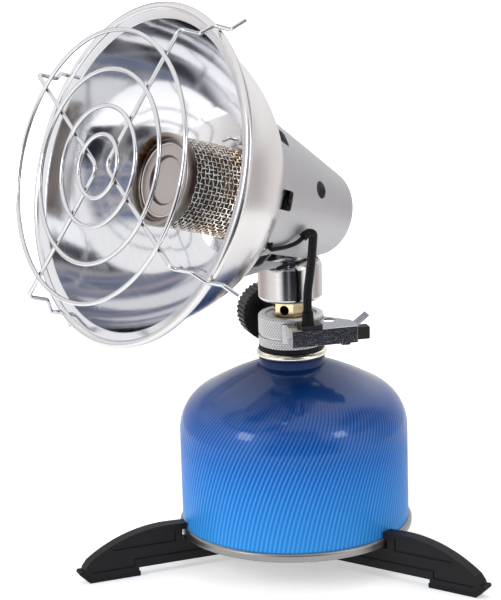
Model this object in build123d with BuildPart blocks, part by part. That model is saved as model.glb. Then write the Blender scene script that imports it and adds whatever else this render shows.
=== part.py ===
from build123d import *
import os
from math import acos, asin, atan2, cos, degrees, hypot, radians, sin, sqrt, tan

# Portable radiant heater on a screw-in gas cartridge with a folding three-legged cartridge stand.
# Millimetres. Origin on the cartridge axis at floor level, +Z up, the reflector faces -Y.

# ---------------------------------------------------------------- driving dimensions
RUN = 0.05              # radial running clearance of turning and sliding fits
SEAT = 0.05             # gap between pieces that rest on each other
PART_GAP = 0.3          # gap between neighbouring pieces that only pass each other

# cartridge
CART_R = 54.0           # body radius
CART_WALL = 0.8
SEAM_R = 55.5
SEAM_W = 2.9            # radial width of the rolled seam
SEAM_H = 4.3
SEAM_Z = 15.1           # underside of the seam above the floor
SHOULDER_Z = 64.0       # top of the straight body
KNUCKLE_R = 22.0
KNUCKLE_TURN = 60.0     # degrees of the shoulder arc
NECK_R = 15.6
NECK_FOOT_Z = 95.3
NECK_TOP_Z = 98.9
BASE_DOME = 9.0         # rise of the concave base
CRIMP_R = 16.7
CRIMP_H = 3.8
CUP_WELL_R = 12.4       # inner wall of the valve cup
CUP_WELL_DEPTH = 7.0
CUP_SHEET = 0.6
BOSS_R = 5.55           # 7/16 thread
BOSS_TOP_Z = 108.8
BOSS_BORE_R = 1.7
BOSS_SKIRT_H = 2.0

# stand
LEG_W = 6.0
LEG_OFFSET = 5.4        # mid-plane of each leg beside the stand's axis
LEG_FRONT_AZ = 253.5    # azimuths from +X
LEG_RIGHT_AZ = 17.3
LEG_REAR_AZ = 135.4
LEG_UNDER_Z = 4.3       # underside of the leg's beam
LEG_ROOT_R = 24.0       # inner end of the beam
LEG_ROOT_TOP_Z = 13.8
LEG_TOP_Z = 23.1
LEG_TOP_R = 64.0        # where the arched top starts
LEG_TIP_R = 105.6
LEG_TIP_TOP_Z = 10.4    # height at which the arched top meets the rounded tip
LEG_TIP_RUN = 2.4
LEG_TIP_H = 1.6         # upright face of the tip
LEG_TIP_ROUND = 1.6
LEG_EDGE = 0.5
FOOT_L = 24.7           # flat under the foot
FOOT_BACK = 2.5         # from the flat's outer end to the leg's tip
FOOT_TOE = 2.6          # pad's toe beyond the leg's tip
FOOT_TIP_Z = 5.0
PAD_T = 2.4
PAD_CHAMFER = 0.5
HOOK_IN_R = 54.8
SLOT_CLEAR = 0.4        # round the seam
LEDGE_CLEAR = 0.1       # under the seam
GROOVE_W = 1.0
GROOVE_D = 0.5
EYE_R = 9.0
EYE_T = 2.8
EYE_Z = 4.6
EYE_PITCH = 3.0
PIN_R = 2.5
PIN_HEAD_R = 4.6
PIN_HEAD_H = 1.3

# valve body and connector
SEAL_T = 2.3
SEAL_R = 15.5
SEAL_IN_R = 8.0
COLLAR_R = 15.4
COLLAR_H = 14.4
COLLAR_EDGE = 0.7
COLLAR_GROOVE_Z = 4.3   # above the collar's underside
COLLAR_GROOVE_W = 1.2
COLLAR_GROOVE_D = 0.5
COLLAR_TOP_RECESS_R = 12.2
COLLAR_TOP_RECESS_D = 0.9
THREAD_CLEAR = 0.1
PUSH_PIN_R = 1.1
PUSH_PIN_REACH = 3.0    # into the cartridge boss
HEX_AF = 15.4
HEX_H = 7.2
HEX_AZ = -61.6          # azimuth of the flat with the port
PORT_R = 2.3
PORT_D = 4.0
JET_NECK_R = 6.0
JET_NECK_H = 3.6
JET_R = 2.2
JET_H = 3.0
KNOB_Z = 112.0
KNOB_AZ = 160.5
KNOB_NEAR = 30.0        # valve axis to the knob's near face
KNOB_T = 10.5
KNOB_R = 13.2
KNOB_RIBS = 36
KNOB_RIB_H = 0.6
KNOB_RIB_W = 1.2
KNOB_EDGE = 0.8
KNOB_RECESS_D = 2.6
KNOB_RIM_W = 2.2
KNOB_HUB_R = 5.0
SPINDLE_R = 2.0
SPINDLE_ROOT = 8.0      # valve axis to the spindle's inner end
SPINDLE_GRIP = 5.0      # spindle inside the knob
GLAND_AF = 10.0
GLAND_L = 7.0

# neck
NECK_CUP_R = 15.1
NECK_CUP_Z = 126.7
NECK_CUP_TOP_Z = 146.4
NECK_CUP_WALL = 0.8
NECK_CUP_FOOT_R = 1.8
NECK_CUP_SHOULDER_R = 4.6
TUBE_R = 6.5
TUBE_WALL = 1.0
TUBE_MOUTH_Z = 134.5
ELBOW_R = 17.0

# heater head
HEAD_REACH = 85.9       # rim plane's centre in front of the cartridge axis
HEAD_Z = 197.9
HEAD_TILT = 17.7        # degrees up
RIM_R = 77.1
BEAD_R = 1.8
SHEET = 0.8
LIP_IN_R = 70.6
LIP_DEPTH = 3.2
WALL_MID_R = 60.6
WALL_MID_S = 29.0
JUNCTION_R = 41.8
JUNCTION_S = 51.0       # depths behind the rim plane
FLOOR_R = 27.4
FLOOR_S = 57.8
HOUSING_START = 0.9     # behind the junction
HOUSING_TAPER = 19.85   # degrees
HOUSING_END_S = 117.0
HOUSING_END_R = 9.0     # rounding of the closed end
VENT_COUNT = 8
VENT_PHASE = 4.0
VENT_L = 8.6
VENT_W = 9.0
VENT_CORNER = 1.4
SIDE_HOLE_R = 4.0
SIDE_HOLE_S = 83.5
SIDE_HOLE_ANGLE = 20.6
LEAD_SLOT_ANGLE = -27.8
LEAD_SLOT_L = 2.0
LEAD_SLOT_W = 5.6
LEAD_HOLE_S = 54.4      # where the lead passes through the housing, behind the slot
LEAD_HOLE_ANGLE = -27.0
LEAD_HOLE_CLEAR = 1.0
UNDERCUT_V = 22.0       # flat of the underside opening below the head's axis
UNDERCUT_S0 = 79.0
UNDERCUT_S1 = 104.0
SIDE_SLOT_S0 = 60.0
SIDE_SLOT_H = 3.6
SIDE_SLOT_U = 10.0
SADDLE_W = 12.0
SADDLE_T = 1.2
SADDLE_BACK = 9.6
SADDLE_STEP_Y = 17.5
SADDLE_STEP_L = 4.0
SADDLE_FRONT = 40.0
RIVET_R = 1.5
RIVET_HEAD_R = 2.4
RIVET_HEAD_H = 0.8

# burner
MESH_R = 20.6
MESH_T = 0.9
MESH_LIP = 1.4          # base flange round the mesh
CAP_R = 21.1
CAP_FRONT_S = 13.3
CAP_SKIRT = 4.8
CAP_SHEET = 0.6
CAP_RECESS = 4.0
CAP_DISC_R = 11.2
CAP_DISC_STEP = 1.2
CAP_BEAD_AT = 16.5
CAP_BEAD_R = 0.5
CAP_BEND = 0.9
CAP_RIM_W = 2.2
LINER_R = 16.8
LINER_T = 0.6
BASE_T = 2.0

# guard grille
WIRE_R = 1.0
GRILLE_S = 20.0         # ring plane in front of the rim plane
RING_RS = dict(grille_ring_outer=60.2, grille_ring_second=42.9, grille_ring_third=26.7,
               grille_ring_inner=14.0)
SPOKE_PHASE = 61.8      # angle of the first spoke arm
SPOKE_R = 72.6          # where the arms turn back
SPOKE_BEND = 2.6
APEX_OFFSET = 2.8
APEX_BEND = 5.0
RIM_CLEAR = 0.3         # wire over the rim bead
HOOK_DIP_S = 7.4
HOOK_OVER_S = 2.3
HOOK_PAST_S = 6.6
HOOK_TAIL_S = 11.4
HOOK_FLARE = 6.2        # rise of the tail beyond the wire over the rim

# piezo igniter: u runs along the unit, n outward from the valve body
PIEZO_AZ = 66.3
BRACKET_TOP_Z = 117.5
BRACKET_T = 0.8
BRACKET_FACE_N = 27.0
BRACKET_U0 = -6.6
BRACKET_U1 = 24.6
BRACKET_H = 8.0
PLATE_TAIL_N = 15.7
STRAP_H = 9.0
STRAP_HALF = 30.0       # degrees each side
STRAP_WING = 71.0       # plate follows the valve body round to here
PLATE_HOLE_R = 3.2
PLATE_HOLE_U = 14.6
PLATE_HOLE_N = 12.8
PLATE_NOTCH_U = 4.4
TAB_N0 = 17.5
TAB_N1 = 24.0
TAB_RUN = 6.7
TAB_RISE = 4.2
UNIT_IN_N = 17.0
UNIT_FLOOR = 0.8        # behind the button stem
LUG_U0 = 17.0
LUG_U1 = 21.0
LUG_REACH = 4.0
BUTTON = 6.0            # square section
BUTTON_N = 22.3
BUTTON_OUT = 6.4
BUTTON_STEM = 8.0
BUTTON_STROKE = 4.5
BUTTON_EDGE = 0.6
TERMINAL_U0 = -2.0
TERMINAL_U1 = 8.0
TERMINAL_N0 = 17.6
TERMINAL_N1 = 27.0
TERMINAL_H = 1.8
BOOT_U = 1.6
BOOT_N = 24.1
BOOT_R = 2.9
BOOT_TOP_R = 2.5
BOOT_ROUND = 0.3
BOOT_H = 6.2
BOOT_SOCKET = 3.0

# ignition lead
LEAD_R = 1.0
SLEEVE_R = 2.0
SLEEVE_CLEAR = 0.15
ELECTRODE_ANGLE = 82.0
ELECTRODE_AT_R = 24.7
ELECTRODE_BODY_R = 2.0
ELECTRODE_BACK_S = 64.0
ELECTRODE_FRONT_S = 50.0
ELECTRODE_WIRE_R = 0.6
ELECTRODE_TIP_S = 42.0

os.makedirs("parts", exist_ok=True)


def bearing(azimuth):
    return Vector(cos(radians(azimuth)), sin(radians(azimuth)), 0)


# ---------------------------------------------------------------- reference planes
section = Plane.XZ                                   # local x = radius, local y = height
head = Plane(origin=(0, -HEAD_REACH, HEAD_Z), x_dir=(1, 0, 0),
             z_dir=(0, -cos(radians(HEAD_TILT)), sin(radians(HEAD_TILT))))
head_section = Plane(origin=head.origin, x_dir=head.x_dir, z_dir=head.x_dir.cross(head.z_dir))
head_axis = Axis(head.origin, head.z_dir)


def head_point(s, radius, angle):
    """A point s in front of the rim plane, at a radius and an angle round the head's axis."""
    return head.from_local_coords((radius * cos(radians(angle)), radius * sin(radians(angle)), s))


def head_radial(s, angle):
    """Plane on the head's axis at s that looks outward at the angle, local x forward."""
    out = head.x_dir * cos(radians(angle)) + head.y_dir * sin(radians(angle))
    return Plane(origin=head.origin + head.z_dir * s, x_dir=head.z_dir, z_dir=out)


# ---------------------------------------------------------------- cartridge
SEAM_TOP_Z = SEAM_Z + SEAM_H
knuckle_x = CART_R - KNUCKLE_R
with BuildPart() as cartridge_body:
    with BuildSketch(section):
        with BuildLine():
            side = Line((CART_R, SEAM_TOP_Z), (CART_R, SHOULDER_Z))
            knuckle = CenterArc((knuckle_x, SHOULDER_Z), KNUCKLE_R, 0, KNUCKLE_TURN)
            crown = TangentArc(knuckle @ 1, (NECK_R, NECK_FOOT_Z), tangent=knuckle % 1)
            neck = Line(crown @ 1, (NECK_R, NECK_TOP_Z))
            offset(amount=CART_WALL, side=Side.LEFT)
        make_face()
    revolve(axis=Axis.Z)
cartridge_body.part.label = "cartridge_body"
export_step(cartridge_body.part, "parts/cartridge_body.step")

seam_in_r = SEAM_R - SEAM_W
with BuildPart() as cartridge_base:
    with BuildSketch(section):
        with BuildLine():
            dome_z = SEAM_Z + SEAM_H / 2
            under = TangentArc((0, dome_z + BASE_DOME), (seam_in_r, dome_z), tangent=(1, 0))
            over = TangentArc((0, dome_z + BASE_DOME + CART_WALL), (seam_in_r, dome_z + CART_WALL), tangent=(1, 0))
            Line(under @ 0, over @ 0)
            Line(under @ 1, over @ 1)
        make_face()
        with Locations((SEAM_R - SEAM_W / 2, SEAM_Z + SEAM_H / 2)):
            RectangleRounded(SEAM_W, SEAM_H, SEAM_W * 0.45)
    revolve(axis=Axis.Z)
cartridge_base.part.label = "cartridge_base"
export_step(cartridge_base.part, "parts/cartridge_base.step")

CRIMP_TOP_Z = NECK_TOP_Z + CRIMP_H
well_floor_z = CRIMP_TOP_Z - CUP_WELL_DEPTH
with BuildPart() as cartridge_valve_cup:
    with BuildSketch(section):
        with BuildLine():
            Polyline((BOSS_R + SEAT, well_floor_z + BOSS_SKIRT_H), (BOSS_R + SEAT, well_floor_z),
                     (CUP_WELL_R, well_floor_z), (CUP_WELL_R, CRIMP_TOP_Z - CUP_SHEET),
                     (CRIMP_R - CRIMP_H / 2, CRIMP_TOP_Z - CUP_SHEET),
                     (CRIMP_R - CRIMP_H / 2, CRIMP_TOP_Z), (CUP_WELL_R - CUP_SHEET, CRIMP_TOP_Z),
                     (CUP_WELL_R - CUP_SHEET, well_floor_z + CUP_SHEET),
                     (BOSS_R + SEAT + CUP_SHEET, well_floor_z + CUP_SHEET),
                     (BOSS_R + SEAT + CUP_SHEET, well_floor_z + BOSS_SKIRT_H), close=True)
        make_face()
        with Locations((CRIMP_R - CRIMP_H / 2, NECK_TOP_Z + CRIMP_H / 2)):
            Circle(CRIMP_H / 2)
    revolve(axis=Axis.Z)
cartridge_valve_cup.part.label = "cartridge_valve_cup"
export_step(cartridge_valve_cup.part, "parts/cartridge_valve_cup.step")

with BuildPart() as cartridge_boss:
    with BuildSketch(Plane.XY.offset(well_floor_z - CUP_SHEET)):
        Circle(BOSS_R)
    extrude(amount=BOSS_TOP_Z - well_floor_z + CUP_SHEET)
    chamfer(cartridge_boss.edges().filter_by(GeomType.CIRCLE).sort_by(Axis.Z)[-1], 0.6)
    with Locations((0, 0, BOSS_TOP_Z)):
        Hole(BOSS_BORE_R, depth=BOSS_TOP_Z - well_floor_z - CUP_SHEET)
cartridge_boss.part.label = "cartridge_boss"
export_step(cartridge_boss.part, "parts/cartridge_boss.step")

# ---------------------------------------------------------------- folding stand
slot_out_r = SEAM_R + SLOT_CLEAR + 1.1
slot_top_z = SEAM_TOP_Z + SLOT_CLEAR
ledge_z = SEAM_Z - LEDGE_CLEAR
foot_out_r = LEG_TIP_R - FOOT_BACK
foot_in_r = foot_out_r - FOOT_L
foot_tip_r = LEG_TIP_R + FOOT_TOE


def leg_planes(azimuth):
    along, left = bearing(azimuth), bearing(azimuth + 90)
    middle = Plane(origin=left * -LEG_OFFSET, x_dir=along, z_dir=left * -1)
    flat = Plane(origin=(0, 0, 0), x_dir=along, z_dir=(0, 0, 1))
    return middle, flat


def make_leg(azimuth, level):
    """One moulded leg; level counts the stacked eyes from the lowest."""
    middle, flat = leg_planes(azimuth)
    arch_run, arch_drop = LEG_TIP_R - LEG_TIP_RUN - LEG_TOP_R, LEG_TOP_Z - LEG_TIP_TOP_Z
    arch_r = (arch_run ** 2 + arch_drop ** 2) / (2 * arch_drop)
    tip_drop = degrees(asin(arch_run / arch_r))
    eye_z = EYE_Z + level * EYE_PITCH
    with BuildPart() as leg:
        with BuildSketch(middle):
            with BuildLine():
                arch = CenterArc((LEG_TOP_R, LEG_TOP_Z - arch_r), arch_r, 90 - tip_drop, tip_drop)
                Line(arch @ 1, (HOOK_IN_R - 2, LEG_TOP_Z - 0.4))
                Line((HOOK_IN_R - 2, LEG_TOP_Z - 0.4), (HOOK_IN_R - 2, ledge_z))
                Line((HOOK_IN_R - 2, ledge_z), (LEG_ROOT_R, LEG_ROOT_TOP_Z))
                Polyline((LEG_ROOT_R, LEG_ROOT_TOP_Z), (LEG_ROOT_R, LEG_UNDER_Z),
                         (foot_in_r + 0.6, LEG_UNDER_Z), (foot_in_r + 0.6, PAD_T),
                         (foot_out_r - 1, PAD_T), (LEG_TIP_R, FOOT_TIP_Z + 0.6),
                         (LEG_TIP_R, FOOT_TIP_Z + 0.6 + LEG_TIP_H), arch @ 0)
            make_face()
        extrude(amount=LEG_W / 2, both=True)
        tip_edges = leg.edges().filter_by(Axis((0, 0, 0), middle.z_dir)).sort_by_distance(
            middle.from_local_coords((LEG_TIP_R, FOOT_TIP_Z + 0.6 + LEG_TIP_H, 0)))
        fillet(tip_edges[0], LEG_TIP_ROUND)
        for side in (1, -1):
            face = Plane(origin=middle.from_local_coords((0, 0, side * LEG_W / 2)),
                         x_dir=middle.x_dir, z_dir=middle.z_dir)
            with BuildSketch(face):
                with BuildLine():
                    Polyline((LEG_TOP_R - 3.2, LEG_TOP_Z - 2.6), (LEG_TOP_R - 3.2, ledge_z),
                             (LEG_TOP_R + 0.65 * (LEG_TIP_R - LEG_TOP_R), ledge_z))
                    offset(amount=GROOVE_W / 2, side=Side.BOTH)
                make_face()
                with BuildLine():
                    Polyline((LEG_ROOT_R + 4, LEG_UNDER_Z + 4.6), (foot_in_r + 3, LEG_UNDER_Z + 4.6),
                             (foot_in_r + 3, LEG_UNDER_Z + 1.1), (foot_out_r - 1.2, LEG_UNDER_Z + 1.1))
                    offset(amount=GROOVE_W / 2, side=Side.BOTH)
                make_face()
            extrude(amount=-side * GROOVE_D, mode=Mode.SUBTRACT)
        # seam slot, concentric with the stand so that the leg turns round the seam
        with BuildSketch(section):
            with Locations((0, (ledge_z + slot_top_z) / 2)):
                Rectangle(slot_out_r, slot_top_z - ledge_z, align=(Align.MIN, Align.CENTER))
            with Locations((0, slot_top_z)):
                Rectangle(HOOK_IN_R, LEG_TOP_Z, align=(Align.MIN, Align.MIN))
        revolve(axis=Axis.Z, mode=Mode.SUBTRACT)
        # eye on the centre rivet and its tongue into the beam
        with BuildSketch(flat.offset(eye_z)):
            Circle(EYE_R)
            with Locations((0, -LEG_OFFSET)):
                Rectangle(LEG_ROOT_R + 3, LEG_W, align=(Align.MIN, Align.CENTER))
            Circle(PIN_R + RUN, mode=Mode.SUBTRACT)
        extrude(amount=EYE_T)
    return leg


def make_pad(azimuth):
    middle, flat = leg_planes(azimuth)
    with BuildPart() as pad:
        with BuildSketch(middle):
            with BuildLine():
                Polyline((foot_in_r, 0), (foot_out_r, 0), (foot_tip_r, FOOT_TIP_Z),
                         (foot_tip_r - 0.3, FOOT_TIP_Z + 1.4), (LEG_TIP_R + SEAT, FOOT_TIP_Z + 1.4),
                         (LEG_TIP_R + SEAT, FOOT_TIP_Z + 0.6 - SEAT), (foot_out_r - 1 + SEAT, PAD_T - SEAT),
                         (foot_in_r, PAD_T - SEAT), close=True)
            make_face()
        extrude(amount=LEG_W / 2, both=True)
        bottom = pad.faces().sort_by(Axis.Z)[0]
        chamfer(bottom.edges().filter_by(Axis((0, 0, 0), middle.x_dir)), PAD_CHAMFER)
    return pad


for name, azimuth, level in (("rear", LEG_REAR_AZ, 0), ("front", LEG_FRONT_AZ, 1), ("right", LEG_RIGHT_AZ, 2)):
    leg = make_leg(azimuth, level)
    leg.part.label = f"leg_{name}"
    export_step(leg.part, f"parts/leg_{name}.step")
    pad = make_pad(azimuth)
    pad.part.label = f"foot_pad_{name}"
    export_step(pad.part, f"parts/foot_pad_{name}.step")

stack_top_z = EYE_Z + 2 * EYE_PITCH + EYE_T
with BuildPart() as stand_rivet:
    with BuildSketch(Plane.XY.offset(EYE_Z - SEAT - PIN_HEAD_H)):
        Circle(PIN_HEAD_R)
    extrude(amount=PIN_HEAD_H)
    with BuildSketch(Plane.XY.offset(EYE_Z - SEAT)):
        Circle(PIN_R)
    extrude(amount=stack_top_z - EYE_Z + 2 * SEAT)
    with BuildSketch(Plane.XY.offset(stack_top_z + SEAT)):
        Circle(PIN_HEAD_R)
    extrude(amount=PIN_HEAD_H)
    heads = stand_rivet.edges().filter_by(GeomType.CIRCLE).sort_by(Axis.Z)
    fillet([heads[0], heads[-1]], PIN_HEAD_H * 0.6)
stand_rivet.part.label = "stand_rivet"
export_step(stand_rivet.part, "parts/stand_rivet.step")

# ---------------------------------------------------------------- seal and valve body
seal_z = CRIMP_TOP_Z + SEAT
with BuildPart() as seal_ring:
    with BuildSketch(Plane.XY.offset(seal_z)):
        Circle(SEAL_R)
        Circle(SEAL_IN_R, mode=Mode.SUBTRACT)
    extrude(amount=SEAL_T)
    fillet(seal_ring.edges().filter_by(GeomType.CIRCLE).group_by(SortBy.RADIUS)[-1], 0.5)
seal_ring.part.label = "seal_ring"
export_step(seal_ring.part, "parts/seal_ring.step")

COLLAR_Z = seal_z + SEAL_T + SEAT
COLLAR_TOP_Z = COLLAR_Z + COLLAR_H
thread_r = BOSS_R + THREAD_CLEAR
thread_top_z = BOSS_TOP_Z + PART_GAP
knob_out = bearing(KNOB_AZ)
knob_plane = Plane(origin=(0, 0, KNOB_Z), x_dir=(0, 0, 1), z_dir=knob_out)
with BuildPart() as valve_body:
    with BuildSketch(section):
        with BuildLine():
            groove_z = COLLAR_Z + COLLAR_GROOVE_Z
            Polyline((thread_r, COLLAR_Z), (COLLAR_R, COLLAR_Z), (COLLAR_R, groove_z),
                     (COLLAR_R - COLLAR_GROOVE_D, groove_z),
                     (COLLAR_R - COLLAR_GROOVE_D, groove_z + COLLAR_GROOVE_W),
                     (COLLAR_R, groove_z + COLLAR_GROOVE_W), (COLLAR_R, COLLAR_TOP_Z - COLLAR_EDGE),
                     (COLLAR_R - COLLAR_EDGE, COLLAR_TOP_Z), (COLLAR_TOP_RECESS_R, COLLAR_TOP_Z),
                     (COLLAR_TOP_RECESS_R, COLLAR_TOP_Z - COLLAR_TOP_RECESS_D),
                     (PUSH_PIN_R + SEAT, COLLAR_TOP_Z - COLLAR_TOP_RECESS_D),
                     (PUSH_PIN_R + SEAT, thread_top_z), (thread_r, thread_top_z), close=True)
        make_face()
    revolve(axis=Axis.Z)
    with BuildSketch(knob_plane.offset(SPINDLE_ROOT - PART_GAP)):
        Circle(SPINDLE_R + RUN)
    extrude(amount=COLLAR_R, mode=Mode.SUBTRACT)
    # flat that the gland nut seats on
    with BuildSketch(knob_plane.offset(COLLAR_R - 1.0)):
        Circle(GLAND_AF * 0.62)
    extrude(amount=4, mode=Mode.SUBTRACT)
valve_body.part.label = "valve_body"
export_step(valve_body.part, "parts/valve_body.step")

deck_z = COLLAR_TOP_Z - COLLAR_TOP_RECESS_D
with BuildPart() as push_pin:
    with BuildSketch(Plane.XY.offset(BOSS_TOP_Z - PUSH_PIN_REACH)):
        Circle(PUSH_PIN_R)
    extrude(amount=deck_z - SEAT - BOSS_TOP_Z + PUSH_PIN_REACH)
    fillet(push_pin.edges().sort_by(Axis.Z)[0], 0.5)
push_pin.part.label = "push_pin"
export_step(push_pin.part, "parts/push_pin.step")

hex_top_z = deck_z + SEAT + HEX_H
with BuildPart() as jet_holder:
    with BuildSketch(Plane.XY.offset(deck_z + SEAT)):
        RegularPolygon(HEX_AF / 2, 6, major_radius=False, rotation=HEX_AZ + 30)
    extrude(amount=HEX_H)
    chamfer(jet_holder.faces().sort_by(Axis.Z)[0].edges(), 0.5)
    with BuildSketch(Plane.XY.offset(hex_top_z)):
        Circle(JET_NECK_R)
    extrude(amount=JET_NECK_H)
    port_plane = Plane(origin=bearing(HEX_AZ) * (HEX_AF / 2) + Vector(0, 0, deck_z + HEX_H / 2),
                       z_dir=bearing(HEX_AZ))
    with Locations(port_plane):
        Hole(PORT_R, depth=PORT_D)
jet_holder.part.label = "jet_holder"
export_step(jet_holder.part, "parts/jet_holder.step")

with BuildPart() as gas_jet:
    with BuildSketch(Plane.XY.offset(hex_top_z + JET_NECK_H + SEAT)):
        Circle(JET_R)
    extrude(amount=JET_H)
    chamfer(gas_jet.edges().filter_by(GeomType.CIRCLE).sort_by(Axis.Z)[-1], 0.6)
    with Locations((0, 0, hex_top_z + JET_NECK_H + SEAT + JET_H)):
        Hole(0.4, depth=1.5)
gas_jet.part.label = "gas_jet"
export_step(gas_jet.part, "parts/gas_jet.step")

with BuildPart() as valve_gland:
    with BuildSketch(knob_plane.offset(COLLAR_R - 1.0 + SEAT)):
        RegularPolygon(GLAND_AF / 2, 6, major_radius=False)
        Circle(SPINDLE_R + RUN, mode=Mode.SUBTRACT)
    extrude(amount=GLAND_L)
    with BuildSketch(knob_plane.offset(COLLAR_R - 1.0 + SEAT + GLAND_L)):
        Circle(GLAND_AF * 0.36)
        Circle(SPINDLE_R + RUN, mode=Mode.SUBTRACT)
    extrude(amount=2.5)
valve_gland.part.label = "valve_gland"
export_step(valve_gland.part, "parts/valve_gland.step")

with BuildPart() as valve_spindle:
    with BuildSketch(knob_plane.offset(SPINDLE_ROOT)):
        Circle(SPINDLE_R)
    extrude(amount=KNOB_NEAR + SPINDLE_GRIP - SPINDLE_ROOT)
valve_spindle.part.label = "valve_spindle"
export_step(valve_spindle.part, "parts/valve_spindle.step")

with BuildPart() as valve_knob:
    with BuildSketch(knob_plane.offset(KNOB_NEAR)):
        Circle(KNOB_R)
        with PolarLocations(KNOB_R, KNOB_RIBS):
            Rectangle(2 * KNOB_RIB_H, KNOB_RIB_W)
    extrude(amount=KNOB_T)
    rim_edges = valve_knob.edges().filter_by(GeomType.CIRCLE)
    with BuildSketch(knob_plane.offset(KNOB_NEAR)):
        Circle(KNOB_R - KNOB_RIM_W)
        Circle(KNOB_HUB_R, mode=Mode.SUBTRACT)
    extrude(amount=KNOB_RECESS_D, mode=Mode.SUBTRACT)
    with BuildSketch(knob_plane.offset(KNOB_NEAR + KNOB_T)):
        Circle(KNOB_R - KNOB_RIM_W)
    extrude(amount=-0.8, mode=Mode.SUBTRACT)
    with BuildSketch(knob_plane.offset(KNOB_NEAR)):
        Circle(SPINDLE_R + SEAT / 2)
    extrude(amount=SPINDLE_GRIP + SEAT, mode=Mode.SUBTRACT)
valve_knob.part.label = "valve_knob"
export_step(valve_knob.part, "parts/valve_knob.step")

# ---------------------------------------------------------------- neck cup
with BuildPart() as neck_cup:
    with BuildSketch(section):
        with BuildLine():
            foot_r, shoulder_r = NECK_CUP_FOOT_R, NECK_CUP_SHOULDER_R
            FilletPolyline((JET_NECK_R + SEAT, NECK_CUP_Z), (NECK_CUP_R, NECK_CUP_Z),
                           (NECK_CUP_R, NECK_CUP_TOP_Z), (TUBE_R + SEAT, NECK_CUP_TOP_Z),
                           radius=[foot_r, shoulder_r])
            offset(amount=NECK_CUP_WALL, side=Side.LEFT)
        make_face()
    revolve(axis=Axis.Z)
neck_cup.part.label = "neck_cup"
export_step(neck_cup.part, "parts/neck_cup.step")

# ---------------------------------------------------------------- reflector dish
bead_r_at = RIM_R - BEAD_R
floor_front_s = SHEET - FLOOR_S                      # front face of the dish floor


def dish_back_line(clear=0):
    """The rear outline of the dish in the head section, from the lip to the flat floor."""
    wall = ThreePointArc((LIP_IN_R, -LIP_DEPTH - clear), (WALL_MID_R, -WALL_MID_S - clear),
                         (JUNCTION_R, -JUNCTION_S - clear))
    bowl = TangentArc(wall @ 1, (FLOOR_R, -FLOOR_S - clear), tangent=wall % 1)
    return wall, bowl


with BuildPart() as reflector_dish:
    with BuildSketch(head_section):
        with BuildLine():
            Line((bead_r_at, -BEAD_R), (LIP_IN_R, -LIP_DEPTH))
            wall, bowl = dish_back_line()
            Line(bowl @ 1, (TUBE_R + SEAT, (bowl @ 1).Y))
            offset(amount=SHEET, side=Side.RIGHT)
        make_face()
        with Locations((bead_r_at, -BEAD_R)):
            Circle(BEAD_R)
    revolve(axis=head_axis)
    # hole for the electrode
    electrode_plane = Plane(origin=head_point(0, ELECTRODE_AT_R, ELECTRODE_ANGLE),
                            x_dir=head.x_dir, z_dir=head.z_dir)
    with BuildSketch(electrode_plane.offset(-JUNCTION_S)):
        Circle(ELECTRODE_BODY_R + SEAT)
    extrude(amount=-(FLOOR_S - JUNCTION_S) - 2, mode=Mode.SUBTRACT)
reflector_dish.part.label = "reflector_dish"
export_step(reflector_dish.part, "parts/reflector_dish.step")

# ---------------------------------------------------------------- rear housing
taper = tan(radians(HOUSING_TAPER))


def housing_r(s):
    """Outer radius of the housing's cone at depth s behind the rim plane."""
    return JUNCTION_R - (s - JUNCTION_S) * taper


def housing_underside(s):
    """Plane on the housing's lowest line at depth s, looking out of the wall."""
    lean = radians(HOUSING_TAPER)
    out = head.y_dir * -cos(lean) - head.z_dir * sin(lean)
    return Plane(origin=head_point(-s, housing_r(s), -90), x_dir=head.x_dir, z_dir=out)


tongue_wall = SHEET / cos(radians(HOUSING_TAPER))
tongue_s0 = UNDERCUT_S0 - 1.5
tongue_s1 = SIDE_SLOT_S0 + 2.5
rivet_depths = (tongue_s0 * 0.7 + tongue_s1 * 0.3, tongue_s0 * 0.2 + tongue_s1 * 0.8)
saddle_z = NECK_CUP_TOP_Z + SEAT

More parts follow.
